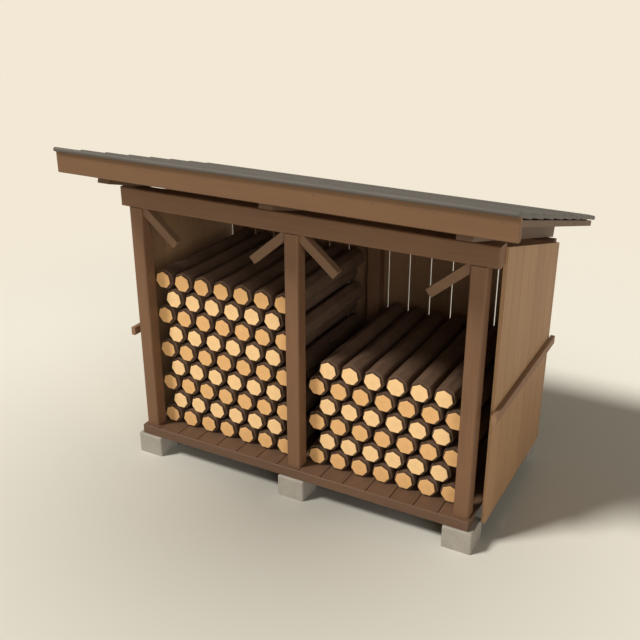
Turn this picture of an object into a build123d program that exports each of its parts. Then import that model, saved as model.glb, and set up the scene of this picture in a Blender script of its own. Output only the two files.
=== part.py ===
"""Open-fronted log store with two bays, built as an assembly of separate pieces.

Millimetres.  X runs from left to right as seen from the front, Y from front to back and Z up.
While the pieces are made, Y = 0 is the front face of the front posts, X = 0 is the middle post
and Z = 0 is the ground.  At the end everything moves together, so that the origin is at the
middle of the finished store's outline, on the ground.
"""
from build123d import *
import math
import os

# ---- frame -------------------------------------------------------------------------------
BAY_PITCH = 1200.0            # post centre to post centre along the front
ROW_PITCH = 1210.0            # front posts to back posts, centre to centre
POST_SIZE = 100.0             # square posts
POST_ROUND = 12.0             # softened long edges of posts and headers

PAD_SIZE = 200.0              # concrete pad blocks, square on plan
PAD_HEIGHT = 155.0
PAD_ROUND = 11.0
BACK_PAD_SHIFT = 34.0         # how far the back pads stand behind the back posts' centres

SILL_HEIGHT = 70.0            # bearers that lie on the pads
SILL_WIDTH = 140.0
SILL_FRONT_STEP = 35.0        # front bearer stands this far in front of the posts
SILL_END_STEP = 13.5          # bearer ends stand this far outside the outer posts
SILL_LIP = 8.0                # lip of the rebate that hides the board ends
SILL_ROUND = 6.0              # rounded front edges of the front bearer

FLOOR_THICKNESS = 25.0
FLOOR_BOARD_SHIFT = -32.0     # the board pattern is off centre, its end boards are ripped to fit
FLOOR_GAP = 6.0

BOARD_PITCH = 168.0           # floor and back wall boards, with one gap each

# ---- headers and roof --------------------------------------------------------------------
FRONT_HEADER_TOP = 2016.0     # top of the front header above the ground
HEADER_HEIGHT = 132.0
FRONT_HEADER_OVERHANG = 66.0  # front header's ends stand this far outside the outer posts
ROOF_PITCH = 15.2             # degrees, falling to the back
RAFTER_SEAT = 4.0             # depth of the seat cut over each header
RAFTER_WIDTH = 92.0
RAFTER_DEPTH = 110.0
RAFTER_TOE_SETBACK = 34.0     # rafter toes stop this far behind the fascia
RAFTER_HEEL_SETBACK = 40.0    # rafter heels stop this far before the roof deck's back edge
ROOF_DECK_THICKNESS = 36.0
ROOF_DECK_SIDE = 230.0        # roof deck edge outside the outer posts
ROOF_DECK_BACK = 185.0        # roof deck edge behind the back posts' faces
ROOF_DECK_ROUND = 9.0

FASCIA_THICKNESS = 38.0
FASCIA_HEIGHT = 136.0
FASCIA_FRONT = 352.0          # fascia face in front of the front posts' faces
FASCIA_END_STEP = 23.0        # fascia ends stand this far past the roof deck's edges
FASCIA_LET_IN = 18.0          # the fascia reaches this far above the roof deck, into the roof boards
FASCIA_ROUND = 5.0

BATTEN_COUNT = 5              # strips over the rafters and midway between them, under the roof boards
BATTEN_WIDTH = 50.0
BATTEN_THICKNESS = 7.0
BATTEN_SETBACK = 60.0         # strips stop this far short of the deck's lower edge
BATTEN_BITE = 0.5             # the roof boards are let into the strips by this much

ROOF_BOARD_END_STEP = 24.0    # board ends stand this far past the roof deck's edges
ROOF_BOARD_DRIP = 30.0        # first board's edge in front of the fascia
ROOF_BOARD_SETBACK = 5.0      # last board's edge before the roof deck's back edge
ROOF_BOARD_SPACING = 240.0    # down the slope, evened out so that whole boards fill the roof
ROOF_BOARD_LAP = 20.0         # each board runs on under the next one by this much
ROOF_BOARD_THICKNESS = 28.0
ROOF_BOARD_RISE = 9.0         # each board's upper edge is this much higher than its lower edge
ROOF_BOARD_END_ROUND = 8.0

# ---- knee braces -------------------------------------------------------------------------
BRACE_SIZE = 60.0
BRACE_ANGLE = 40.0            # degrees above level
BRACE_REACH = 300.0           # free end's middle from the centre of its post
BRACE_DROP = 225.0            # free end's middle below the underside of the header
BRACE_ROUND = 6.0

# ---- walls -------------------------------------------------------------------------------
SIDE_WALL_STEP = 56.0         # side boards' inner faces outside the outer posts
SIDE_BOARD_THICKNESS = 24.0
SIDE_BOARD_PITCH = 165.2      # with one gap; the last board is ripped to fit
SIDE_BOARD_GAP = 4.0
SIDE_WALL_BACK = 88.0         # last board's back edge behind the back posts' front faces
SIDE_WALL_DROP = 24.0         # side boards stop this far below the rafters' underside
BACK_BOARD_THICKNESS = 18.0
BACK_BOARD_GAP = 9.5
BACK_WALL_LAP = 10.0          # back boards reach this far below the floor boards
BACK_WALL_DROP = 22.0         # back boards stop this far below the top of the back header
BACK_WALL_STEP_IN = 7.5       # the back wall ends this far inside the bearers' ends
RAIL_HEIGHT = 60.0
RAIL_THICKNESS = 32.0
RAIL_TOP = 965.0
RAIL_FRONT = 60.0             # rail in front of the side boards
RAIL_BACK = 43.0              # rail behind the side boards
RAIL_ROUND = 5.0

# ---- logs --------------------------------------------------------------------------------
LOG_DIAMETER = 155.0
LOG_GAP = 5.5                 # between neighbours in a row
LOG_FRONT = 102.0             # cut faces behind the posts' front faces
LOG_BARE_END = 20.0           # length at each end where the bark is stripped
LOG_BARE_DIAMETER = 122.0     # across the corners of the bare end
LOG_END_SIDES = 7             # the bare end has flats, with one corner straight up
LOG_POST_CLEARANCE = 10.0     # logs of a wide row end this far before the back posts
LOG_NARROW_EXTRA = 50.0       # logs of a narrow row run this much further back
LEFT_ROWS = 9
RIGHT_ROWS = 6
LEFT_STACK_SHIFT = -10.0      # the stacks are not quite centred in their bays
RIGHT_STACK_SHIFT = 7.0

# ---- values worked out from the dimensions above ------------------------------------------
HALF_POST = POST_SIZE / 2
OUTER_POST_FACE = BAY_PITCH + HALF_POST
POST_X = {"left": -BAY_PITCH, "middle": 0.0, "right": BAY_PITCH}
BACK_POST_FRONT = ROW_PITCH
BACK_POST_BACK = ROW_PITCH + POST_SIZE
SLOPE = math.tan(math.radians(ROOF_PITCH))
COS_PITCH = math.cos(math.radians(ROOF_PITCH))

SILL_TOP = PAD_HEIGHT + SILL_HEIGHT
FLOOR_BOTTOM = SILL_TOP - FLOOR_THICKNESS
SILL_HALF_LENGTH = OUTER_POST_FACE + SILL_END_STEP
FLOOR_FRONT = SILL_LIP - SILL_FRONT_STEP
FRONT_HEADER_BOTTOM = FRONT_HEADER_TOP - HEADER_HEIGHT
FRONT_HEADER_HALF_LENGTH = OUTER_POST_FACE + FRONT_HEADER_OVERHANG
SIDE_WALL_INNER = OUTER_POST_FACE + SIDE_WALL_STEP
SIDE_WALL_OUTER = SIDE_WALL_INNER + SIDE_BOARD_THICKNESS
DECK_HALF_LENGTH = OUTER_POST_FACE + ROOF_DECK_SIDE
DECK_BACK = BACK_POST_BACK + ROOF_DECK_BACK
FASCIA_BACK = FASCIA_THICKNESS - FASCIA_FRONT

SIDE_WALL_FRONT = POST_SIZE    # first board's front edge is against the front header's back face
SIDE_WALL_END = BACK_POST_FRONT + SIDE_WALL_BACK

ROOF_BOARD_FRONT = FASCIA_FRONT + ROOF_BOARD_DRIP
ROOF_LENGTH = (DECK_BACK - ROOF_BOARD_SETBACK + ROOF_BOARD_FRONT) / COS_PITCH
ROOF_BOARD_COUNT = round((ROOF_LENGTH - ROOF_BOARD_LAP) / ROOF_BOARD_SPACING)
ROOF_BOARD_PITCH = (ROOF_LENGTH - ROOF_BOARD_LAP) / ROOF_BOARD_COUNT

LOG_PITCH = LOG_DIAMETER + LOG_GAP
LOGS_IN_WIDE_ROW = 1 + int((BAY_PITCH - LOG_DIAMETER) / LOG_PITCH)

os.makedirs("parts", exist_ok=True)


def rafter_underside(y):
    """Height of the rafters' lower faces at depth y."""
    return FRONT_HEADER_TOP - RAFTER_SEAT + (POST_SIZE - y) * SLOPE


def deck_underside(y):
    """Height of the roof deck's lower face, which is the rafters' upper face, at depth y."""
    return rafter_underside(y) + RAFTER_DEPTH / COS_PITCH


def deck_top(y):
    """Height of the roof deck's upper face at depth y."""
    return deck_underside(y) + ROOF_DECK_THICKNESS / COS_PITCH


BACK_HEADER_TOP = rafter_underside(BACK_POST_BACK) + RAFTER_SEAT
BACK_HEADER_BOTTOM = BACK_HEADER_TOP - HEADER_HEIGHT
FASCIA_TOP = deck_top(-FASCIA_FRONT) + FASCIA_LET_IN


def block(x0, x1, y0, y1, z0, z1):
    """Plain box between two corners."""
    box = Box(x1 - x0, y1 - y0, z1 - z0)
    return Pos((x0 + x1) / 2, (y0 + y1) / 2, (z0 + z1) / 2) * box


def soften(solid, radius, axis=None):
    """Round a timber's edges: all of them, or only those along one axis."""
    edges = solid.edges() if axis is None else solid.edges().filter_by(axis)
    return fillet(edges, radius)


def side_profile(points, half_length):
    """Solid with one outline in the YZ plane, as long as twice half_length along X."""
    face = make_face(Polyline([(0, y, z) for y, z in points], close=True).edges())
    return Pos(-half_length, 0, 0) * extrude(face, amount=2 * half_length, dir=(1, 0, 0))


def pad(x, centre_y):
    half = PAD_SIZE / 2
    solid = block(x - half, x + half, centre_y - half, centre_y + half, 0, PAD_HEIGHT)
    upper = [edge for edge in solid.edges() if edge.center().Z > PAD_HEIGHT / 4]
    return fillet(upper, PAD_ROUND)


def front_sill():
    beam = block(-SILL_HALF_LENGTH, SILL_HALF_LENGTH, -SILL_FRONT_STEP,
                 SILL_WIDTH - SILL_FRONT_STEP, PAD_HEIGHT, SILL_TOP)
    front_edges = beam.edges().filter_by(Axis.X).sort_by(Axis.Y)[:2]
    rebate = block(-SILL_HALF_LENGTH, SILL_HALF_LENGTH, FLOOR_FRONT,
                   SILL_WIDTH, FLOOR_BOTTOM, SILL_TOP)
    return fillet(front_edges, SILL_ROUND) - rebate


def back_sill():
    return block(-SILL_HALF_LENGTH, SILL_HALF_LENGTH, BACK_POST_BACK - SILL_WIDTH,
                 BACK_POST_BACK, PAD_HEIGHT, FLOOR_BOTTOM)


def board_edges(half_length, shift, gap):
    """Left and right edges of parallel boards; the outer two are cut to the full length."""
    joint = shift + BOARD_PITCH / 2
    while joint - BOARD_PITCH > -half_length:
        joint -= BOARD_PITCH
    joints = []
    while joint < half_length - BOARD_PITCH / 2:
        joints.append(joint)
        joint += BOARD_PITCH
    lefts = [-half_length] + [value + gap / 2 for value in joints]
    rights = [value - gap / 2 for value in joints] + [half_length]
    return list(zip(lefts, rights))


def floor_boards():
    """Boards that run from front to back."""
    edges = board_edges(SILL_HALF_LENGTH, FLOOR_BOARD_SHIFT, FLOOR_GAP)
    return Compound([block(left, right, FLOOR_FRONT, BACK_POST_BACK, FLOOR_BOTTOM, SILL_TOP)
                     for left, right in edges])


def post(x, front_y, top):
    solid = block(x - HALF_POST, x + HALF_POST, front_y, front_y + POST_SIZE, SILL_TOP, top)
    return soften(solid, POST_ROUND, Axis.Z)


def front_header():
    """Rounded beam; the upright edges at its back stay square, where the side boards butt on."""
    solid = block(-FRONT_HEADER_HALF_LENGTH, FRONT_HEADER_HALF_LENGTH, 0, POST_SIZE,
                  FRONT_HEADER_BOTTOM, FRONT_HEADER_TOP)
    long_edges = solid.edges().filter_by(Axis.X)
    end_edges = solid.edges().filter_by(Axis.Z).sort_by(Axis.Y)[:2]
    return fillet(long_edges + end_edges, POST_ROUND)


def back_header():
    """Beam between the side walls, which are nailed to its ends."""
    solid = block(-SIDE_WALL_INNER, SIDE_WALL_INNER, BACK_POST_FRONT, BACK_POST_BACK,
                  BACK_HEADER_BOTTOM, BACK_HEADER_TOP)
    return soften(solid, POST_ROUND, Axis.X)


def rafter(x):
    """Sloping timber with square-cut ends and a seat cut over each header."""
    toe = FASCIA_BACK + RAFTER_TOE_SETBACK
    heel = DECK_BACK - RAFTER_HEEL_SETBACK
    lean = RAFTER_DEPTH * math.sin(math.radians(ROOF_PITCH))
    outline = [(toe, rafter_underside(toe)), (heel, rafter_underside(heel)),
               (heel + lean, deck_underside(heel + lean)), (toe + lean, deck_underside(toe + lean))]
    solid = Pos(x, 0, 0) * side_profile(outline, RAFTER_WIDTH / 2)
    for front_y, top in ((0.0, FRONT_HEADER_TOP), (BACK_POST_FRONT, BACK_HEADER_TOP)):
        solid -= block(x - RAFTER_WIDTH, x + RAFTER_WIDTH, front_y, front_y + POST_SIZE,
                       top - HEADER_HEIGHT, top)
    return solid


def roof_deck():
    """Boarding on the rafters: plumb where the fascia is nailed on, rounded at the back."""
    rise = ROOF_DECK_THICKNESS / COS_PITCH
    lean = ROOF_DECK_THICKNESS * math.sin(math.radians(ROOF_PITCH))
    front = FASCIA_BACK
    back = DECK_BACK
    outline = [(front, deck_underside(front)), (back, deck_underside(back)),
               (back + lean, deck_underside(back + lean) + rise), (front, deck_underside(front) + rise)]
    solid = side_profile(outline, DECK_HALF_LENGTH)
    back_edges = solid.edges().filter_by(Axis.X).sort_by(Axis.Y)[-2:]
    return fillet(back_edges, ROOF_DECK_ROUND)


def fascia():
    half = DECK_HALF_LENGTH + FASCIA_END_STEP
    solid = block(-half, half, -FASCIA_FRONT, FASCIA_BACK, FASCIA_TOP - FASCIA_HEIGHT, FASCIA_TOP)
    return soften(solid, FASCIA_ROUND)


def roof_boards():
    """Boards with fully rounded long edges, each lapped over the lower edge of the one before.

    They are modelled as one piece, because the laps are nailed through.
    """
    half = DECK_HALF_LENGTH + ROOF_BOARD_END_STEP
    width = ROOF_BOARD_PITCH + ROOF_BOARD_LAP
    tilt = math.degrees(math.atan(ROOF_BOARD_RISE / width))
    board = extrude(Plane.YZ * SlotOverall(width, ROOF_BOARD_THICKNESS), amount=half, both=True)
    ends = board.faces().filter_by(Axis.X).edges()
    board = Rot(-tilt, 0, 0) * fillet(ends, ROOF_BOARD_END_ROUND)
    board = Pos(0, width / 2, BATTEN_THICKNESS - BATTEN_BITE - board.bounding_box().min.Z) * board
    boards = board
    for index in range(1, ROOF_BOARD_COUNT):
        boards += Pos(0, index * ROOF_BOARD_PITCH, 0) * board
    front = -ROOF_BOARD_FRONT
    return Pos(0, front, deck_top(front)) * Rot(-ROOF_PITCH, 0, 0) * boards


def roof_battens():
    """Thin strips between the roof deck and the roof boards."""
    front = FASCIA_BACK
    back = DECK_BACK - BATTEN_SETBACK
    rise = BATTEN_THICKNESS / COS_PITCH
    outline = [(front, deck_top(front)), (back, deck_top(back)),
               (back, deck_top(back) + rise), (front, deck_top(front) + rise)]
    batten = side_profile(outline, BATTEN_WIDTH / 2)
    spacing = 2 * BAY_PITCH / (BATTEN_COUNT - 1)
    return [Pos(index * spacing - BAY_PITCH, 0, 0) * batten for index in range(BATTEN_COUNT)]


def brace(post_x, side):
    """Square bar from the corner of post and header down into the bay; side is +1 or -1."""
    free_x = post_x + side * BRACE_REACH
    free_z = FRONT_HEADER_BOTTOM - BRACE_DROP
    length = 2 * BRACE_REACH
    bar = Pos(-length / 2, 0, 0) * Box(length, BRACE_SIZE, BRACE_SIZE)
    bar = soften(bar, BRACE_ROUND)
    bar = Pos(free_x, HALF_POST, free_z) * Rot(0, BRACE_ANGLE if side > 0 else 180 - BRACE_ANGLE, 0) * bar
    face_x = post_x + side * HALF_POST
    far_x = free_x + side * BRACE_SIZE
    keep = block(min(face_x, far_x), max(face_x, far_x), 0, POST_SIZE,
                 free_z - BRACE_SIZE, FRONT_HEADER_BOTTOM)
    return bar & keep


def side_wall(side):
    """Upright boards from the pads' height up, cut off parallel to the roof.

    They are nailed to the ends of the back header, and the first one butts on the front header.
    """
    middle = side * (SIDE_WALL_INNER + SIDE_BOARD_THICKNESS / 2)
    boards = []
    front = SIDE_WALL_FRONT
    while SIDE_WALL_END - front > SIDE_BOARD_THICKNESS:
        back = min(front + SIDE_BOARD_PITCH - SIDE_BOARD_GAP, SIDE_WALL_END)
        outline = [(front, PAD_HEIGHT), (back, PAD_HEIGHT),
                   (back, rafter_underside(back) - SIDE_WALL_DROP),
                   (front, rafter_underside(front) - SIDE_WALL_DROP)]
        boards.append(Pos(middle, 0, 0) * side_profile(outline, SIDE_BOARD_THICKNESS / 2))
        front += SIDE_BOARD_PITCH
    return Compound(boards)


def rail(side):
    """Level rail on the outside that ties the side boards together."""
    bar = block(SIDE_WALL_OUTER, SIDE_WALL_OUTER + RAIL_THICKNESS, SIDE_WALL_FRONT - RAIL_FRONT,
                SIDE_WALL_END + RAIL_BACK, RAIL_TOP - RAIL_HEIGHT, RAIL_TOP)
    bar = soften(bar, RAIL_ROUND, Axis.Y)
    return bar if side > 0 else mirror(bar, Plane.YZ)


def back_wall():
    """Upright boards with open gaps, nailed to the back header and the back bearer."""
    top = BACK_HEADER_TOP - BACK_WALL_DROP
    edges = board_edges(SILL_HALF_LENGTH - BACK_WALL_STEP_IN, 0.0, BACK_BOARD_GAP)
    bottom = FLOOR_BOTTOM - BACK_WALL_LAP
    return Compound([block(left, right, BACK_POST_BACK, BACK_POST_BACK + BACK_BOARD_THICKNESS, bottom, top)
                     for left, right in edges])


def log(x, z, bark_back):
    """Round log with its bark stripped at both ends, where it shows a seven-sided face."""
    bark_front = LOG_FRONT + LOG_BARE_END
    bark_length = bark_back - bark_front
    bark = Rot(90, 0, 0) * Cylinder(LOG_DIAMETER / 2, bark_length)
    bark = Pos(x, bark_front + bark_length / 2, z) * bark
    core_length = bark_length + 2 * LOG_BARE_END
    face = Rot(0, 0, 90) * RegularPolygon(LOG_BARE_DIAMETER / 2, LOG_END_SIDES)
    core = extrude(face, amount=core_length / 2, both=True)
    core = Pos(x, bark_front + bark_length / 2, z) * Rot(90, 0, 0) * core
    return bark + core


def log_rows(bay_centre, row_count, wide):
    """Every second row of a stack: the wide rows, or the narrow rows with one log less.

    Rows nest: each log rests in the saddle between the two logs below it.
    """
    row_rise = math.sqrt(LOG_DIAMETER ** 2 - (LOG_PITCH / 2) ** 2)
    count = LOGS_IN_WIDE_ROW if wide else LOGS_IN_WIDE_ROW - 1
    log_back = BACK_POST_FRONT - LOG_POST_CLEARANCE + (0 if wide else LOG_NARROW_EXTRA)
    bark_back = log_back - LOG_BARE_END
    logs = []
    for row in range(0 if wide else 1, row_count, 2):
        z = SILL_TOP + LOG_DIAMETER / 2 + row * row_rise
        for index in range(count):
            x = bay_centre + (index - (count - 1) / 2) * LOG_PITCH
            logs.append(log(x, z, bark_back))
    return Compound(logs)


nodes = {}
front_pad_y = HALF_POST
back_pad_y = BACK_POST_FRONT + HALF_POST + BACK_PAD_SHIFT
for name, x in POST_X.items():
    nodes[f"pad_front_{name}"] = pad(x, front_pad_y)
    nodes[f"pad_back_{name}"] = pad(x, back_pad_y)
    nodes[f"post_front_{name}"] = post(x, 0.0, FRONT_HEADER_BOTTOM)
    nodes[f"post_back_{name}"] = post(x, BACK_POST_FRONT, BACK_HEADER_BOTTOM)
    nodes[f"rafter_{name}"] = rafter(x)
nodes["sill_front"] = front_sill()
nodes["sill_back"] = back_sill()
nodes["floor_boards"] = floor_boards()
nodes["header_front"] = front_header()
nodes["header_back"] = back_header()
nodes["roof_deck"] = roof_deck()
nodes["roof_boards"] = roof_boards()
nodes["roof_battens"] = Compound([batten - nodes["roof_boards"] for batten in roof_battens()])
nodes["fascia_board"] = fascia() - nodes["roof_boards"]
nodes["knee_brace_left"] = brace(POST_X["left"], 1)
nodes["knee_brace_middle_left"] = brace(POST_X["middle"], -1)
nodes["knee_brace_middle_right"] = brace(POST_X["middle"], 1)
nodes["knee_brace_right"] = brace(POST_X["right"], -1)
nodes["side_wall_left"] = side_wall(-1)
nodes["side_wall_right"] = side_wall(1)
nodes["side_rail_left"] = rail(-1)
nodes["side_rail_right"] = rail(1)
nodes["back_wall"] = back_wall()
left_stack = LEFT_STACK_SHIFT - BAY_PITCH / 2
right_stack = RIGHT_STACK_SHIFT + BAY_PITCH / 2
nodes["left_logs_wide_rows"] = log_rows(left_stack, LEFT_ROWS, True)
nodes["left_logs_narrow_rows"] = log_rows(left_stack, LEFT_ROWS, False)
nodes["right_logs_wide_rows"] = log_rows(right_stack, RIGHT_ROWS, True)
nodes["right_logs_narrow_rows"] = log_rows(right_stack, RIGHT_ROWS, False)

outline = Compound([shape for shape in nodes.values()]).bounding_box()
origin = Pos(-(outline.min.X + outline.max.X) / 2, -(outline.min.Y + outline.max.Y) / 2, -outline.min.Z)
for name, shape in nodes.items():
    export_step(origin * shape, f"parts/{name}.step")
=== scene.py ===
"""Looks of the log store: finishes for its timber, concrete and roof boards, carved logs,
nails and screws, and a plain studio stage.

Metres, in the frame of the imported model: +X to the right as seen from the open front, +Y from
the front to the back, +Z up, with the ground at Z = 0.
"""
import math

import bpy
import numpy as np
from bpy.props import FloatProperty, FloatVectorProperty, IntProperty, PointerProperty
from mathutils import Euler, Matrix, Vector


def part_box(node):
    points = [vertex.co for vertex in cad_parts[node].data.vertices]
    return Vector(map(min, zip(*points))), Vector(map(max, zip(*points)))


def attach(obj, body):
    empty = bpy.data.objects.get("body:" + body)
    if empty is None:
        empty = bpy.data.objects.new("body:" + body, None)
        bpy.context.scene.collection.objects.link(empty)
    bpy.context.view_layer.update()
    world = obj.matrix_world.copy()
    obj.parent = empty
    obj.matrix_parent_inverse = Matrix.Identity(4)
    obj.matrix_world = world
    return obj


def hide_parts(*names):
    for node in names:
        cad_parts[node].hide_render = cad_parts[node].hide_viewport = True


bl_info = {
    "name": "Log store",
    "version": (1, 0, 0),
    "blender": (4, 5, 0),
    "location": "3D Viewport > Sidebar > Log store",
    "description": "Dresses a timber log store with finishes, firewood and fixings",
    "category": "Object",
}

MM = 0.001
POST_X = (-1.2, 0.0, 1.2)
BOARD_PITCH = 168 * MM         # floor and back wall boards, from one to the next
BOARD_COUNT = 15               # boards in the floor, and in the back wall
FLOOR_SHIFT = -32 * MM         # the floor boards' pattern is this far off centre
SIDE_PITCH = 165.2 * MM        # side wall boards, from one to the next
ROOF_BOARD_COUNT = 8
NAIL_SPREAD = 45 * MM          # nails in a wide board, to each side of its middle
CAMERA_PLACE = (2.6206, -5.0205, 3.5638)
CAMERA_TURN = (66.4927, 0.0, 28.4517)     # degrees about X, Y and Z
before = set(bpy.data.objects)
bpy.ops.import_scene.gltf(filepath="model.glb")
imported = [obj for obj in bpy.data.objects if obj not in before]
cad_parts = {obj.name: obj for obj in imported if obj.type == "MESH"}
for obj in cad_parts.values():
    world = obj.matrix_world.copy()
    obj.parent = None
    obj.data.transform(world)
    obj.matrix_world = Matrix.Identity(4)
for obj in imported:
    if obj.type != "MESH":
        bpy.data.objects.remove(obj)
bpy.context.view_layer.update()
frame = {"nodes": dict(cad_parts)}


# ---- colours, nodes and meshes ---------------------------------------------------------------

def linear(hex_colour):
    """Turn an sRGB hex value into linear light, by the sRGB transfer curve."""
    channels = [int(hex_colour[i:i + 2], 16) / 255 for i in (1, 3, 5)]
    return tuple(c / 12.92 if c <= 0.04045 else ((c + 0.055) / 1.055) ** 2.4 for c in channels)


def colour_property(name, description, hex_colour):
    return FloatVectorProperty(name=name, description=description, subtype="COLOR", size=3,
                               min=0.0, max=1.0, default=linear(hex_colour))


def add_node(tree, kind, inputs=None, **settings):
    """Add a node, apply its settings and give each input a value or another node's output."""
    node = tree.nodes.new(kind)
    for name, value in settings.items():
        setattr(node, name, value)
    for key, value in (inputs or {}).items():
        socket = node.inputs[key]
        if isinstance(value, bpy.types.NodeSocket):
            tree.links.new(value, socket)
        elif socket.type == "RGBA":
            socket.default_value = (*value[:3], 1.0)
        else:
            socket.default_value = value
    return node


def new_material(name):
    """Return an empty node material and its tree."""
    material = bpy.data.materials.new(name)
    material.use_nodes = True
    material.node_tree.nodes.clear()
    return material, material.node_tree


def close_material(tree, colour, roughness, height, bump_mm, specular):
    """End a tree with one Principled shader, over a bump of bump_mm."""
    bump = add_node(tree, "ShaderNodeBump", {"Distance": bump_mm * MM, "Height": height})
    shader = add_node(tree, "ShaderNodeBsdfPrincipled",
                      {"Base Color": colour, "Roughness": roughness,
                       "Specular IOR Level": specular, "Normal": bump.outputs[0]})
    add_node(tree, "ShaderNodeOutputMaterial", {"Surface": shader.outputs[0]})


def new_piece(name, points, faces, materials, face_materials=None, sharp_degrees=40.0):
    """Make a mesh object from a point array and face arrays, and let it ride on the store."""
    mesh = bpy.data.meshes.new(name)
    mesh.from_pydata(points.tolist(), [], [row for block in faces for row in block.tolist()])
    for material in materials:
        mesh.materials.append(material)
    if face_materials is not None:
        mesh.polygons.foreach_set("material_index", face_materials)
    mesh.polygons.foreach_set("use_smooth", np.ones(len(mesh.polygons), bool))
    mesh.set_sharp_from_angle(angle=math.radians(sharp_degrees))
    mesh.update()
    piece = bpy.data.objects.new(name, mesh)
    bpy.context.scene.collection.objects.link(piece)
    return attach(piece, "root")


def give_finish(node_name, material):
    """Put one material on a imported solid."""
    piece = frame["nodes"][node_name]
    if not piece.material_slots:
        piece.data.materials.append(material)
    for slot in piece.material_slots:
        slot.material = material


# ---- materials -------------------------------------------------------------------------------

AXES = {"X": 0, "Y": 1, "Z": 2}


def timber(name, light, dark, grain, boards=None, ring_mm=16.0, mottle_mm=220.0, spread=0.06,
           roughness=0.62, bump_mm=0.6):
    """Planed softwood under a thin stain, with its grain along one axis.

    Growth lines show through the stain as soft streaks, 14 times as long as they are wide, over
    slow blotches where the stain took more deeply.
    Real growth lines are 3 to 6 mm apart and are drawn at ring_mm, so that they show.
    boards is (axis, first edge in metres, pitch in metres) where a solid holds several boards:
    then each board has its own tone, which differs by up to spread, and its own grain.
    """
    material, tree = new_material(name)
    place = add_node(tree, "ShaderNodeTexCoord").outputs["Object"]
    tone = 1.0
    if boards:
        axis, first, pitch = boards
        split = add_node(tree, "ShaderNodeSeparateXYZ", {0: place})
        along = add_node(tree, "ShaderNodeMath", {0: split.outputs[AXES[axis]], 1: first},
                         operation="SUBTRACT")
        count = add_node(tree, "ShaderNodeMath", {0: along.outputs[0], 1: pitch},
                         operation="DIVIDE")
        index = add_node(tree, "ShaderNodeMath", {0: count.outputs[0]}, operation="FLOOR")
        chance = add_node(tree, "ShaderNodeTexWhiteNoise", {"W": index.outputs[0]},
                          noise_dimensions="1D")
        tone = add_node(tree, "ShaderNodeMapRange",
                        {"Value": chance.outputs["Value"], "To Min": 1 - spread,
                         "To Max": 1 + spread}).outputs[0]
        shift = add_node(tree, "ShaderNodeVectorMath", {0: chance.outputs["Color"], 1: (5, 5, 5)},
                         operation="MULTIPLY")
        place = add_node(tree, "ShaderNodeVectorMath", {0: place, 1: shift.outputs[0]},
                         operation="ADD").outputs[0]
    stretch = [1.0, 1.0, 1.0]
    stretch[AXES[grain]] = 1 / 14
    streaks = add_node(tree, "ShaderNodeMapping", {"Vector": place, "Scale": stretch})
    lines = add_node(tree, "ShaderNodeTexNoise",
                     {"Vector": streaks.outputs[0], "Scale": 1 / (ring_mm * MM), "Detail": 3.0,
                      "Roughness": 0.6, "Distortion": 0.4})
    stretch[AXES[grain]] = 1 / 3
    patches = add_node(tree, "ShaderNodeMapping", {"Vector": place, "Scale": stretch})
    blotches = add_node(tree, "ShaderNodeTexNoise",
                        {"Vector": patches.outputs[0], "Scale": 1 / (mottle_mm * MM),
                         "Detail": 2.0, "Roughness": 0.5})
    blend = add_node(tree, "ShaderNodeMix", {0: 0.5, 2: lines.outputs[0], 3: blotches.outputs[0]})
    ramp = add_node(tree, "ShaderNodeMapRange",
                    {"Value": blend.outputs[0], "From Min": 0.36, "From Max": 0.64})
    colour = add_node(tree, "ShaderNodeMix", {0: ramp.outputs[0], 6: dark, 7: light},
                      data_type="RGBA")
    toned = add_node(tree, "ShaderNodeHueSaturation", {"Color": colour.outputs[2], "Value": tone})
    rough = add_node(tree, "ShaderNodeMapRange",
                     {"Value": lines.outputs[0], "To Min": roughness - 0.08,
                      "To Max": roughness + 0.08})
    close_material(tree, toned.outputs[0], rough.outputs[0], lines.outputs[0], bump_mm, 0.35)
    return material


def cast_concrete(name, light, dark):
    """Cast concrete block, struck from a steel mould.

    A pale cement skin with slow cloudy stains, sand grains about 3 mm across, drawn at 7 mm, and
    scattered air holes of about 5 mm that show as small dark pits; dull all over.
    """
    material, tree = new_material(name)
    place = add_node(tree, "ShaderNodeTexCoord").outputs["Object"]
    clouds = add_node(tree, "ShaderNodeTexNoise",
                      {"Vector": place, "Scale": 1 / (90 * MM), "Detail": 3.0})
    grains = add_node(tree, "ShaderNodeTexNoise",
                      {"Vector": place, "Scale": 1 / (7 * MM), "Detail": 1.0})
    pits = add_node(tree, "ShaderNodeTexVoronoi", {"Vector": place, "Scale": 1 / (22 * MM)})
    open_pit = add_node(tree, "ShaderNodeMapRange",
                        {"Value": pits.outputs["Distance"], "From Min": 0.12, "From Max": 0.2})
    mixed = add_node(tree, "ShaderNodeMix", {0: 0.25, 2: clouds.outputs[0], 3: grains.outputs[0]})
    ramp = add_node(tree, "ShaderNodeMapRange",
                    {"Value": mixed.outputs[0], "From Min": 0.38, "From Max": 0.62})
    skin = add_node(tree, "ShaderNodeMix", {0: ramp.outputs[0], 6: dark, 7: light},
                    data_type="RGBA")
    pitted = add_node(tree, "ShaderNodeMix",
                      {0: open_pit.outputs[0], 6: [0.8 * c for c in dark], 7: skin.outputs[2]},
                      data_type="RGBA")
    relief = add_node(tree, "ShaderNodeMix",
                      {0: 0.5, 2: open_pit.outputs[0], 3: grains.outputs[0]})
    close_material(tree, pitted.outputs[2], 0.9, relief.outputs[0], 0.4, 0.3)
    return material


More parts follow.
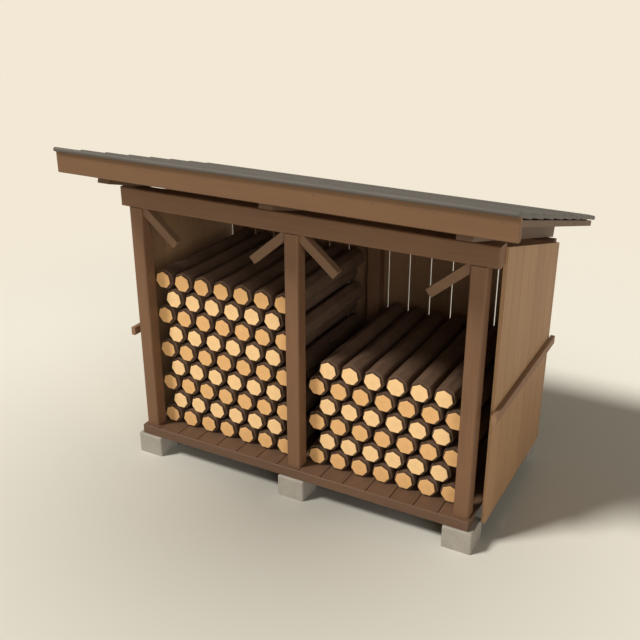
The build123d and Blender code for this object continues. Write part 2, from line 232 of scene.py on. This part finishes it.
def bark(name, light, dark):
    """Thin smooth bark of a young hardwood stem.

    Dull brown with long soft streaks, and low ridges about 12 mm apart along the stem; each log
    has its own shade.
    """
    material, tree = new_material(name)
    local = add_node(tree, "ShaderNodeAttribute", attribute_name="log_place")
    seed = add_node(tree, "ShaderNodeAttribute", attribute_name="log_seed")
    streaks = add_node(tree, "ShaderNodeMapping",
                       {"Vector": local.outputs["Vector"], "Scale": (1.0, 1 / 9, 1.0)})
    ridges = add_node(tree, "ShaderNodeTexNoise",
                      {"Vector": streaks.outputs[0], "W": seed.outputs["Fac"],
                       "Scale": 1 / (12 * MM), "Detail": 3.0, "Roughness": 0.6},
                      noise_dimensions="4D")
    patches = add_node(tree, "ShaderNodeTexNoise",
                       {"Vector": local.outputs["Vector"], "W": seed.outputs["Fac"],
                        "Scale": 1 / (140 * MM), "Detail": 2.0}, noise_dimensions="4D")
    blend = add_node(tree, "ShaderNodeMix", {0: 0.45, 2: patches.outputs[0], 3: ridges.outputs[0]})
    ramp = add_node(tree, "ShaderNodeMapRange",
                    {"Value": blend.outputs[0], "From Min": 0.36, "From Max": 0.64})
    colour = add_node(tree, "ShaderNodeMix", {0: ramp.outputs[0], 6: dark, 7: light},
                      data_type="RGBA")
    shade = add_node(tree, "ShaderNodeMath", {0: seed.outputs["Fac"], 1: 1.0}, operation="FRACT")
    tone = add_node(tree, "ShaderNodeMapRange",
                    {"Value": shade.outputs[0], "To Min": 0.92, "To Max": 1.08})
    toned = add_node(tree, "ShaderNodeHueSaturation",
                     {"Color": colour.outputs[2], "Value": tone.outputs[0]})
    close_material(tree, toned.outputs[0], 0.8, ridges.outputs[0], 1.0, 0.25)
    return material


def sawn_end(name, light, dark):
    """Cross-cut end of a seasoned log, clean from the saw.

    Growth rings about 4 mm apart, drawn at 9 mm and faint, run round a heart that is a little
    off centre and a little darker; fine drying cracks leave the heart; dull, dry wood.
    """
    material, tree = new_material(name)
    local = add_node(tree, "ShaderNodeAttribute", attribute_name="log_place")
    seed = add_node(tree, "ShaderNodeAttribute", attribute_name="log_seed")
    wobble = add_node(tree, "ShaderNodeTexNoise",
                      {"Vector": local.outputs["Vector"], "W": seed.outputs["Fac"],
                       "Scale": 1 / (45 * MM), "Detail": 2.0}, noise_dimensions="4D")
    flat = add_node(tree, "ShaderNodeVectorMath",
                    {0: local.outputs["Vector"], 1: (1.0, 0.0, 1.0)}, operation="MULTIPLY")
    reach = add_node(tree, "ShaderNodeVectorMath", {0: flat.outputs[0]}, operation="LENGTH")
    bent = add_node(tree, "ShaderNodeMath",
                    {0: wobble.outputs[0], 1: 12 * MM, 2: reach.outputs["Value"]},
                    operation="MULTIPLY_ADD")
    turns = add_node(tree, "ShaderNodeMath", {0: bent.outputs[0], 1: 2 * math.pi / (9 * MM)},
                     operation="MULTIPLY")
    wave = add_node(tree, "ShaderNodeMath", {0: turns.outputs[0]}, operation="SINE")
    rings = add_node(tree, "ShaderNodeMapRange",
                     {"Value": wave.outputs[0], "From Min": -1.0, "To Min": 0.55, "To Max": 1.0})
    heart = add_node(tree, "ShaderNodeMapRange",
                     {"Value": bent.outputs[0], "From Min": 8 * MM, "From Max": 40 * MM,
                      "To Min": 0.6, "To Max": 1.0})
    share = add_node(tree, "ShaderNodeMath", {0: rings.outputs[0], 1: heart.outputs[0]},
                     operation="MULTIPLY")
    colour = add_node(tree, "ShaderNodeMix", {0: share.outputs[0], 6: dark, 7: light},
                      data_type="RGBA")
    split = add_node(tree, "ShaderNodeSeparateXYZ", {0: flat.outputs[0]})
    angle = add_node(tree, "ShaderNodeMath", {0: split.outputs[2], 1: split.outputs[0]},
                     operation="ARCTAN2")
    spokes = add_node(tree, "ShaderNodeMath", {0: angle.outputs[0], 1: 2.2, 2: seed.outputs["Fac"]},
                      operation="MULTIPLY_ADD")
    crack_noise = add_node(tree, "ShaderNodeTexNoise",
                           {"W": spokes.outputs[0], "Scale": 3.0, "Detail": 0.0},
                           noise_dimensions="1D")
    crack = add_node(tree, "ShaderNodeMapRange",
                     {"Value": crack_noise.outputs[0], "From Min": 0.68, "From Max": 0.72})
    near = add_node(tree, "ShaderNodeMapRange",
                    {"Value": reach.outputs["Value"], "From Min": 20 * MM, "From Max": 44 * MM,
                     "To Min": 0.3, "To Max": 0.0})
    cracked = add_node(tree, "ShaderNodeMath", {0: crack.outputs[0], 1: near.outputs[0]},
                       operation="MULTIPLY")
    checked = add_node(tree, "ShaderNodeMix",
                       {0: cracked.outputs[0], 6: colour.outputs[2], 7: [0.45 * c for c in dark]},
                       data_type="RGBA")
    close_material(tree, checked.outputs[2], 0.78, rings.outputs[0], 0.4, 0.25)
    return material


def stained_steel(name, colour):
    """Steel nail head under the same stain as the wood, with specks about 1 mm across."""
    material, tree = new_material(name)
    place = add_node(tree, "ShaderNodeTexCoord").outputs["Object"]
    specks = add_node(tree, "ShaderNodeTexNoise", {"Vector": place, "Scale": 1 / (1.5 * MM)})
    tone = add_node(tree, "ShaderNodeMapRange",
                    {"Value": specks.outputs[0], "To Min": 0.8, "To Max": 1.1})
    mixed = add_node(tree, "ShaderNodeHueSaturation", {"Color": colour, "Value": tone.outputs[0]})
    close_material(tree, mixed.outputs[0], 0.55, specks.outputs[0], 0.1, 0.5)
    return material


# ---- settings --------------------------------------------------------------------------------

class TimberSettings(bpy.types.PropertyGroup):
    frame: colour_property("Frame", "Stain on posts, headers and the back bearer", "#79583E")
    fascia: colour_property("Fascia", "Stain on the fascia board", "#75563B")
    deck: colour_property("Roof deck", "Stain on the roof deck and the rafters", "#684F3C")
    floor: colour_property("Floor", "Stain on the floor boards and the front bearer", "#664C39")
    wall: colour_property("Side walls", "Stain on the side boards", "#A47F5B")
    slats: colour_property("Back wall", "Stain on the back boards", "#927152")
    rail: colour_property("Rails", "Stain on the side rails", "#906E53")
    brace: colour_property("Braces", "Stain on the knee braces", "#795C44")
    roof: colour_property("Roof boards", "Stain on the lapped roof boards", "#5D5953")
    concrete: colour_property("Pads", "Concrete of the pads", "#A39C91")


class FirewoodSettings(bpy.types.PropertyGroup):
    bark: colour_property("Bark", "Bark of the logs", "#6A5240")
    tan: colour_property("Tan ends", "Sawn ends in the wide rows", "#E6B478")
    pale: colour_property("Pale ends", "Sawn ends in the narrow rows", "#F6CD95")
    diameter: FloatProperty(name="Log diameter", description="Over the bark", default=155 * MM,
                            min=0.05, max=0.3, unit="LENGTH", subtype="DISTANCE")
    slack: FloatProperty(name="Slack", description="Space left round each stem's corners",
                         default=2 * MM, min=0.0, max=0.02, unit="LENGTH", subtype="DISTANCE")
    end_diameter: FloatProperty(name="End diameter", description="Bare end, over its corners",
                                default=122 * MM, min=0.03, max=0.3, unit="LENGTH",
                                subtype="DISTANCE")
    bare_length: FloatProperty(name="Bare length", description="Length stripped at each end",
                               default=20 * MM, min=0.002, max=0.1, unit="LENGTH",
                               subtype="DISTANCE")
    furrow: FloatProperty(name="Furrow depth", description="Depth of the bark's ridges",
                          default=1.4 * MM, min=0.0, max=0.01, unit="LENGTH", subtype="DISTANCE")
    sides: IntProperty(name="Sides", description="Flats round each log", default=7, min=5, max=12)


class FixingSettings(bpy.types.PropertyGroup):
    nail: FloatProperty(name="Nail head", description="Diameter of the nail heads",
                        default=8 * MM, min=0.002, max=0.03, unit="LENGTH", subtype="DISTANCE")
    screw: FloatProperty(name="Screw head", description="Diameter of the screw heads",
                         default=11 * MM, min=0.002, max=0.03, unit="LENGTH", subtype="DISTANCE")
    steel: colour_property("Heads", "Stain on the steel heads", "#5E4836")


class StageSettings(bpy.types.PropertyGroup):
    background: colour_property("Background", "Backdrop, as it is seen", "#F2E8D5")
    # The floor at the store is darker than the far floor: painted shade of the store on the floor
    # near it.
    floor: colour_property("Floor", "Studio floor at the store", "#AFACA2")
    far_floor: colour_property("Far floor", "Studio floor 4 m away", "#F9F6E9")
    key: FloatProperty(name="Key light", description="Brightness of the main light",
                       default=0.94, min=0.0, max=10.0)
    fill: FloatProperty(name="Fill light", description="Brightness of the light from the right",
                        default=0.36, min=0.0, max=10.0)
    sky: FloatProperty(name="Room light", description="Brightness of the light from all round",
                       default=0.14, min=0.0, max=10.0)


# ---- firewood --------------------------------------------------------------------------------

ROWS = {"left_logs_wide_rows": (7, 5), "left_logs_narrow_rows": (6, 4),
        "right_logs_wide_rows": (7, 3), "right_logs_narrow_rows": (6, 3)}


def many_sided(angles, sides, radius, crispness):
    """Radius of a regular polygon with softened corners and one corner straight up.

    It is the flats' distance divided by the p-norm of the cosines to the flats' directions:
    a large p gives crisp corners.  The corners lie at the given radius.
    """
    flats = math.pi / 2 + (np.arange(sides) + 0.5) * 2 * math.pi / sides
    closeness = np.clip(np.cos(angles[:, None] - flats), 0, None)
    shape = (closeness ** crispness).sum(1) ** (-1 / crispness)
    return radius * shape / shape.max()


def stack_of_logs(name, logs_in_row, rows, settings, materials):
    """Logs of one kind of row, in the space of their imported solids.

    Each log is a closed grid: stations along it times points round it.  A point lies at
    (x + r cos a, y, z + r sin a), where r is the softened polygon's radius at the angle a, less
    a furrow depth that is a product of sines of the angle and of the place along the log.  The
    centres lie lower than a round log's would, so that the lowest logs' flats rest on the floor.
    """
    low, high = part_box(name)
    half = settings.diameter / 2
    corner = half - settings.slack
    drop = half - corner * math.cos(math.pi / settings.sides)
    centres_x = np.linspace(low.x + half, high.x - half, logs_in_row)
    centres_z = np.linspace(low.z + half, high.z - half, rows) - drop
    centre = np.array([(x, z) for z in centres_z for x in centres_x])
    count = len(centre)
    seed = np.modf(np.arange(count) * 0.6180339 + len(name) * 0.137)[0]

    around = settings.sides * 10
    angle = math.pi / 2 + np.arange(around) * 2 * math.pi / around
    core = many_sided(angle, settings.sides, settings.end_diameter / 2, 90)
    stem = many_sided(angle, settings.sides, corner, 26)
    along = np.linspace(low.y + settings.bare_length + 3 * MM,
                        high.y - settings.bare_length - 3 * MM, 20)
    joint_front, joint_back = low.y + settings.bare_length, high.y - settings.bare_length
    stations = np.concatenate([[low.y, low.y + 2 * MM, joint_front, joint_front], along,
                               [joint_back, joint_back, high.y - 2 * MM, high.y]])
    rounding = np.concatenate([[2 * MM, 0, 0, 3 * MM], np.zeros(len(along)),
                               [3 * MM, 0, 0, 2 * MM]])
    is_core = np.zeros(len(stations), bool)
    is_core[:3] = is_core[-3:] = True
    radius = np.where(is_core[:, None], core, stem) - rounding[:, None]
    phase = seed[:, None, None] * 40
    wave = (np.sin(17 * angle[None, None] + phase + 9 * stations[None, :, None])
            * np.sin(5 * angle[None, None] - 2 * phase + 23 * stations[None, :, None]))
    furrows = np.where(is_core[None, :, None], 0, settings.furrow * (0.5 + 0.5 * wave))
    radius = radius[None] * (1 - 0.012 * seed[:, None, None]) - furrows

    grid = np.stack([centre[:, 0, None, None] + radius * np.cos(angle),
                     np.broadcast_to(stations[None, :, None], radius.shape),
                     centre[:, 1, None, None] + radius * np.sin(angle)], -1)
    poles = np.stack([np.stack([centre[:, 0], np.full(count, y), centre[:, 1]], -1)
                      for y in (low.y, high.y)], 1)
    points = np.concatenate([grid.reshape(count, -1, 3), poles], 1)
    per_log = points.shape[1]

    ring = np.arange(around)
    after = (ring + 1) % around
    step = np.arange(len(stations) - 1)[:, None] * around
    quads = np.stack([step + ring, step + after, step + around + after, step + around + ring], -1)
    last = (len(stations) - 1) * around
    front_fan = np.stack([ring, np.full(around, per_log - 2), after], -1)
    back_fan = np.stack([last + after, np.full(around, per_log - 1), last + ring], -1)
    start = (np.arange(count) * per_log)[:, None, None]
    all_quads = (start + quads.reshape(1, -1, 4)).reshape(-1, 4)
    fans = (start + np.concatenate([front_fan, back_fan])[None]).reshape(-1, 3)
    kind = np.zeros((len(stations) - 1, around), int)
    kind[:2] = kind[-2:] = 2
    kind[0] = kind[-1] = 1
    kinds = np.concatenate([np.tile(kind.ravel(), count), np.ones(len(fans), int)])

    piece = new_piece(name.replace("_logs_", "_firewood_"), points.reshape(-1, 3),
                      [all_quads, fans], materials, kinds)
    local = points - np.stack([centre[:, 0], np.zeros(count), centre[:, 1]], -1)[:, None]
    local[..., 0] += (0.012 * np.cos(seed * 50))[:, None]
    local[..., 2] += (0.012 * np.sin(seed * 50))[:, None]
    place = piece.data.attributes.new("log_place", "FLOAT_VECTOR", "POINT")
    place.data.foreach_set("vector", local.astype(np.float32).ravel())
    number = piece.data.attributes.new("log_seed", "FLOAT", "POINT")
    number.data.foreach_set("value", np.repeat(seed * 31, per_log).astype(np.float32))
    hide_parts(name)
    return piece


class LOGSTORE_OT_firewood(bpy.types.Operator):
    """Stack the logs, with seven flats, bark and bare sawn ends"""
    bl_idname = "logstore.firewood"
    bl_label = "Firewood"

    def execute(self, context):
        settings = context.scene.logstore_firewood
        skin = bark("Young hardwood bark, smooth", settings.bark, [0.62 * c for c in settings.bark])
        rim = bark("Bark and bast, cut back", *shades([0.75 * c for c in settings.bark]))
        tan = sawn_end("Birch, cross-cut, tan", settings.tan, [0.86 * c for c in settings.tan])
        pale = sawn_end("Ash, cross-cut, pale", settings.pale, [0.88 * c for c in settings.pale])
        for name, (logs_in_row, rows) in ROWS.items():
            wide = "wide" in name
            piece = stack_of_logs(name, logs_in_row, rows, settings,
                                  [skin, tan if wide else pale, rim])
        return {"FINISHED"}


# ---- timber and concrete ---------------------------------------------------------------------

def shades(colour, share=0.8):
    """A stain and the darker tone that it takes in soft wood."""
    return list(colour), [share * c for c in colour]


class LOGSTORE_OT_frame(bpy.types.Operator):
    """Finish the posts, headers, back bearer, rafters, braces, rails and pads"""
    bl_idname = "logstore.frame"
    bl_label = "Frame"

    def execute(self, context):
        stains = context.scene.logstore_timber
        upright = timber("Softwood post, brown stain, planed", *shades(stains.frame), "Z")
        level = timber("Softwood beam, brown stain, planed", *shades(stains.frame), "X")
        sloping = timber("Softwood rafter, brown stain, sawn", *shades(stains.deck), "Y")
        brace = timber("Softwood brace, brown stain, planed", *shades(stains.brace), "X")
        rail = timber("Softwood rail, brown stain, planed", *shades(stains.rail), "Y")
        concrete = cast_concrete("Cast concrete, struck smooth", *shades(stains.concrete, 0.9))
        for name in frame["nodes"]:
            if name.startswith("post_"):
                give_finish(name, upright)
            elif name.startswith("header_") or name == "sill_back":
                give_finish(name, level)
            elif name.startswith("rafter_"):
                give_finish(name, sloping)
            elif name.startswith("knee_brace_"):
                give_finish(name, brace)
            elif name.startswith("side_rail_"):
                give_finish(name, rail)
            elif name.startswith("pad_"):
                give_finish(name, concrete)
        return {"FINISHED"}


class LOGSTORE_OT_boards(bpy.types.Operator):
    """Finish the front bearer, and the floor and the walls board by board"""
    bl_idname = "logstore.boards"
    bl_label = "Floor and walls"

    def execute(self, context):
        stains = context.scene.logstore_timber
        side_low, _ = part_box("side_wall_right")
        give_finish("sill_front", timber("Softwood bearer, dark stain, planed",
                                         *shades(stains.floor), "X"))
        floor = timber("Softwood floor board, brown stain, sawn", *shades(stains.floor), "Y",
                       boards=("X", FLOOR_SHIFT + BOARD_PITCH / 2, BOARD_PITCH))
        side = timber("Softwood cladding, light stain, sawn", *shades(stains.wall, 0.86), "Z",
                      boards=("Y", side_low.y - 2 * MM, SIDE_PITCH), spread=0.05)
        back = timber("Softwood slats, light stain, sawn", *shades(stains.slats, 0.86), "Z",
                      boards=("X", BOARD_PITCH / 2, BOARD_PITCH), spread=0.05)
        give_finish("floor_boards", floor)
        give_finish("side_wall_left", side)
        give_finish("side_wall_right", side)
        give_finish("back_wall", back)
        return {"FINISHED"}


class LOGSTORE_OT_roof(bpy.types.Operator):
    """Finish the roof deck, fascia, battens and lapped roof boards"""
    bl_idname = "logstore.roof"
    bl_label = "Roof"

    def execute(self, context):
        stains = context.scene.logstore_timber
        low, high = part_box("roof_boards")
        pitch = (high.y - low.y) / ROOF_BOARD_COUNT
        give_finish("roof_deck", timber("Softwood deck, brown stain, sawn",
                                        *shades(stains.deck), "X"))
        give_finish("fascia_board", timber("Softwood fascia, brown stain, planed",
                                           *shades(stains.fascia, 0.86), "X"))
        # The battens take 0.4 of the deck stain: painted shade in the gap under the roof boards.
        give_finish("roof_battens", timber("Softwood batten, darkened as painted shade, sawn",
                                           *shades([0.4 * c for c in stains.deck]), "Y"))
        give_finish("roof_boards", timber("Softwood roof board, grey stain, weathered",
                                          *shades(stains.roof, 0.8), "X",
                                          boards=("Y", low.y, pitch), roughness=0.6))
        return {"FINISHED"}


# ---- fixings ---------------------------------------------------------------------------------

def round_heads(name, spots, diameter, material):
    """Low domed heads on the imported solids' faces.

    spots are (node, point, direction): a ray from the point finds the face, and a head stands
    on it.  A head is a profile of radius and height turned about the face's normal.
    """
    hits = [(frame["nodes"][node].ray_cast(Vector(point), Vector(direction)), node, point)
            for node, point, direction in spots]
    missed = [(node, point) for hit, node, point in hits if not hit[0]]
    if missed:
        raise RuntimeError(f"{name}: no face under {missed}")
    centre = np.array([hit[1] for hit, _, _ in hits])
    normal = np.array([hit[2] for hit, _, _ in hits])
    helper = np.where(np.abs(normal[:, 2:]) < 0.9, (0.0, 0.0, 1.0), (1.0, 0.0, 0.0))
    side = np.cross(helper, normal)
    side /= np.linalg.norm(side, axis=1, keepdims=True)
    other = np.cross(normal, side)
    reach = np.array([0.45, 0.85, 1.0, 1.0]) * diameter / 2
    height = np.array([0.16, 0.11, 0.04, -0.1]) * diameter
    around = 12
    turn = np.arange(around) * 2 * math.pi / around
    spoke = (np.cos(turn)[None, :, None] * side[:, None] + np.sin(turn)[None, :, None]
             * other[:, None])
    rings = (centre[:, None, None] + reach[None, :, None, None] * spoke[:, None]
             + height[None, :, None, None] * normal[:, None, None])
    top = centre + 0.17 * diameter * normal
    bottom = centre - 0.1 * diameter * normal
    points = np.concatenate([rings.reshape(len(centre), -1, 3), top[:, None], bottom[:, None]], 1)
    ring = np.arange(around)
    after = (ring + 1) % around
    step = np.arange(len(reach) - 1)[:, None] * around
    quads = np.stack([step + ring, step + around + ring, step + around + after, step + after], -1)
    last = (len(reach) - 1) * around
    fans = np.concatenate([
        np.stack([np.full(around, points.shape[1] - 2), ring, after], -1),
        np.stack([np.full(around, points.shape[1] - 1), last + after, last + ring], -1)])
    start = (np.arange(len(centre)) * points.shape[1])[:, None, None]
    return new_piece(name, points.reshape(-1, 3),
                     [(start + quads.reshape(1, -1, 4)).reshape(-1, 4),
                      (start + fans[None]).reshape(-1, 3)], [material])


class LOGSTORE_OT_fixings(bpy.types.Operator):
    """Set nail heads in the boards and rails, and screw heads in the fascia"""
    bl_idname = "logstore.fixings"
    bl_label = "Fixings"

    def execute(self, context):
        settings = context.scene.logstore_fixings
        steel = stained_steel("Steel nail, stained over", settings.steel)
        wall_low, wall_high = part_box("side_wall_right")
        floor_low, floor_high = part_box("floor_boards")
        header_low, header_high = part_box("header_back")
        roof_low, roof_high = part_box("roof_boards")
        fascia_low, fascia_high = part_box("fascia_board")
        rail_low, rail_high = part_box("side_rail_right")
        numbers = np.arange(BOARD_COUNT) - BOARD_COUNT // 2

        # Side walls: two rows of two into the back header's end, and a slanting pair through
        # the rail into each board.
        board_y = wall_low.y + (np.arange(7) + 0.5) * SIDE_PITCH
        walls, rails = [], []
        for side, wall, rail in ((1, "side_wall_right", "side_rail_right"),
                                 (-1, "side_wall_left", "side_rail_left")):
            inward = (-side, 0, 0)
            for z in (header_low.z + 30 * MM, header_high.z - 45 * MM):
                for dy in (20 * MM, 60 * MM):
                    walls.append((wall, (side * 2, wall_high.y - dy, z), inward))
            for y in board_y:
                for z in (rail_low.z + 18 * MM, rail_high.z - 18 * MM):
                    rails.append((rail, (side * 2, y + (z - rail_low.z) - 30 * MM, z), inward))
        round_heads("nails_side_walls", walls, settings.nail, steel)
        round_heads("nails_side_rails", rails, settings.nail, steel)

        # Back wall: a pair in each board at the back header and at the floor's edge.
        round_heads("nails_back_wall",
                    [("back_wall", (x + dx, 2, z), (0, -1, 0)) for x in numbers * BOARD_PITCH
                     for dx in (-NAIL_SPREAD, NAIL_SPREAD)
                     for z in (header_low.z + 45 * MM, floor_high.z - 13 * MM)],
                    settings.nail, steel)

        # Floor: a pair in each board over each bearer, except beside a post or at the ends.
        round_heads("nails_floor",
                    [("floor_boards", (x + dx, y, 1), (0, 0, -1))
                     for x in numbers * BOARD_PITCH + FLOOR_SHIFT
                     for dx in (-NAIL_SPREAD, NAIL_SPREAD)
                     for y in (floor_low.y + 60 * MM, floor_high.y - 50 * MM)
                     if min(abs(x + dx - post) for post in POST_X) > 70 * MM
                     and abs(x + dx) < floor_high.x - 15 * MM],
                    settings.nail, steel)

        # Roof: pairs over each batten, at the shares of a board's width where it lies bare.
        pitch = (roof_high.y - roof_low.y - 20 * MM) / ROOF_BOARD_COUNT
        batten_x = np.linspace(POST_X[0], POST_X[-1], 5)
        round_heads("nails_roof",
                    [("roof_boards", (x + dx, roof_low.y + (i + share) * pitch, 3), (0, 0, -1))
                     for x in batten_x for dx in (-12 * MM, 12 * MM)
                     for i in range(ROOF_BOARD_COUNT) for share in (0.3, 0.78)],
                    settings.nail, steel)
        round_heads("screws_fascia",
                    [("fascia_board", (x, -2, fascia_high.z - 38 * MM), (0, 1, 0))
                     for x in np.linspace(fascia_low.x + 90 * MM, fascia_high.x - 90 * MM, 9)],
                    settings.screw, steel)
        return {"FINISHED"}


# ---- stage -----------------------------------------------------------------------------------

def sun(name, azimuth, elevation, strength, spread_degrees, colour):
    """A distant lamp.  Its azimuth counts from straight ahead of the open front, to the right."""
    lamp = bpy.data.lights.new(name, "SUN")
    lamp.energy = strength * math.pi
    lamp.angle = math.radians(spread_degrees)
    lamp.color = colour
    holder = bpy.data.objects.new(name, lamp)
    a, e = math.radians(azimuth), math.radians(elevation)
    towards = Vector((math.sin(a) * math.cos(e), -math.cos(a) * math.cos(e), math.sin(e)))
    holder.location = 6 * towards
    holder.rotation_euler = towards.to_track_quat("Z", "Y").to_euler()
    bpy.context.scene.collection.objects.link(holder)


class LOGSTORE_OT_stage(bpy.types.Operator):
    """Lay the floor and set the backdrop, lights and camera"""
    bl_idname = "logstore.stage"
    bl_label = "Stage"

    def execute(self, context):
        settings = context.scene.logstore_stage
        scene = context.scene
        scene.view_settings.view_transform = "Standard"

        # Floor: matt board, with painted shade: darker near a point before the open front and paler
        # from 0.3 to 4 m out from it, that fades into the backdrop from 3 to 8 m.
        material, tree = new_material("Painted board, matt, with painted shade near the store")
        place = add_node(tree, "ShaderNodeTexCoord").outputs["Object"]
        spot = add_node(tree, "ShaderNodeVectorMath", {0: place, 1: (0.0, 0.5, 0.0)})
        reach = add_node(tree, "ShaderNodeVectorMath", {0: spot.outputs[0]}, operation="LENGTH")
        near = add_node(tree, "ShaderNodeMapRange",
                        {"Value": reach.outputs["Value"], "From Min": 0.3, "From Max": 4.0,
                         "To Min": 1.0, "To Max": 0.0})
        share = add_node(tree, "ShaderNodeMath", {0: near.outputs[0], 1: 1.9}, operation="POWER")
        # Painted shade: near the store the floor takes the darker colour, far out the paler one.
        floor_paint_and_painted_shade = add_node(tree, "ShaderNodeMix",
                        {0: share.outputs[0], 6: settings.far_floor, 7: settings.floor},
                        data_type="RGBA")
        fade = add_node(tree, "ShaderNodeMapRange",
                        {"Value": reach.outputs["Value"], "From Min": 3.0, "From Max": 8.0},
                        interpolation_type="SMOOTHERSTEP")
        paint = add_node(tree, "ShaderNodeBsdfDiffuse", {"Color": floor_paint_and_painted_shade.outputs[2]})
        glow = add_node(tree, "ShaderNodeEmission", {"Color": settings.background})
        mixed = add_node(tree, "ShaderNodeMixShader",
                         {0: fade.outputs[0], 1: paint.outputs[0], 2: glow.outputs[0]})
        add_node(tree, "ShaderNodeOutputMaterial", {"Surface": mixed.outputs[0]})
        corner = 30.0
        mesh = bpy.data.meshes.new("studio_floor")
        mesh.from_pydata([(-corner, -corner, 0), (corner, -corner, 0), (corner, corner, 0),
                          (-corner, corner, 0)], [], [(0, 1, 2, 3)])
        mesh.materials.append(material)
        floor = bpy.data.objects.new("studio_floor", mesh)
        scene.collection.objects.link(floor)

        # Backdrop: the lens and glossy rays see the plain background, the rest the room light.
        world = bpy.data.worlds.new("studio_room")
        world.use_nodes = True
        tree = world.node_tree
        tree.nodes.clear()
        path = add_node(tree, "ShaderNodeLightPath")
        seen = add_node(tree, "ShaderNodeMath",
                        {0: path.outputs["Is Camera Ray"], 1: path.outputs["Is Glossy Ray"]},
                        operation="ADD", use_clamp=True)
        through = add_node(tree, "ShaderNodeMath",
                           {0: seen.outputs[0], 1: path.outputs["Is Transmission Ray"]},
                           operation="ADD", use_clamp=True)
        room = add_node(tree, "ShaderNodeBackground",
                        {"Color": settings.background, "Strength": settings.sky})
        plain = add_node(tree, "ShaderNodeBackground",
                         {"Color": settings.background, "Strength": 1.0})
        both = add_node(tree, "ShaderNodeMixShader",
                        {0: through.outputs[0], 1: room.outputs[0], 2: plain.outputs[0]})
        add_node(tree, "ShaderNodeOutputWorld", {"Surface": both.outputs[0]})
        scene.world = world

        sun("key_light", -44, 51, settings.key, 12, (1.0, 0.97, 0.93))
        sun("fill_light", 45, 12, settings.fill, 40, (1.0, 0.98, 0.95))

        lens = bpy.data.cameras.new("camera")
        lens.lens, lens.sensor_width = 50.0, 36.0
        camera = bpy.data.objects.new("camera", lens)
        camera.location = CAMERA_PLACE
        camera.rotation_euler = Euler([math.radians(turn) for turn in CAMERA_TURN])
        scene.collection.objects.link(camera)
        scene.camera = camera
        return {"FINISHED"}


# ---- add-on ----------------------------------------------------------------------------------

OPERATORS = (LOGSTORE_OT_frame, LOGSTORE_OT_boards, LOGSTORE_OT_roof, LOGSTORE_OT_firewood,
             LOGSTORE_OT_fixings, LOGSTORE_OT_stage)
SETTINGS = {"logstore_timber": TimberSettings, "logstore_firewood": FirewoodSettings,
            "logstore_fixings": FixingSettings, "logstore_stage": StageSettings}


class LOGSTORE_PT_panel(bpy.types.Panel):
    """Settings and steps of the log store"""
    bl_idname = "LOGSTORE_PT_panel"
    bl_label = "Log store"
    bl_space_type = "VIEW_3D"
    bl_region_type = "UI"
    bl_category = "Log store"

    def draw(self, context):
        for key, group in SETTINGS.items():
            box = self.layout.box()
            for name in group.__annotations__:
                box.prop(getattr(context.scene, key), name)
        for operator in OPERATORS:
            self.layout.operator(operator.bl_idname)


def register():
    for group in SETTINGS.values():
        bpy.utils.register_class(group)
    for key, group in SETTINGS.items():
        setattr(bpy.types.Scene, key, PointerProperty(type=group))
    for operator in OPERATORS:
        bpy.utils.register_class(operator)
    bpy.utils.register_class(LOGSTORE_PT_panel)


def unregister():
    bpy.utils.unregister_class(LOGSTORE_PT_panel)
    for operator in reversed(OPERATORS):
        bpy.utils.unregister_class(operator)
    for key, group in SETTINGS.items():
        delattr(bpy.types.Scene, key)
        bpy.utils.unregister_class(group)


def main():
    register()
    bpy.ops.logstore.frame()
    bpy.ops.logstore.boards()
    bpy.ops.logstore.roof()
    bpy.ops.logstore.firewood()
    bpy.ops.logstore.fixings()
    bpy.ops.logstore.stage()


if __name__ == "__main__":
    main()
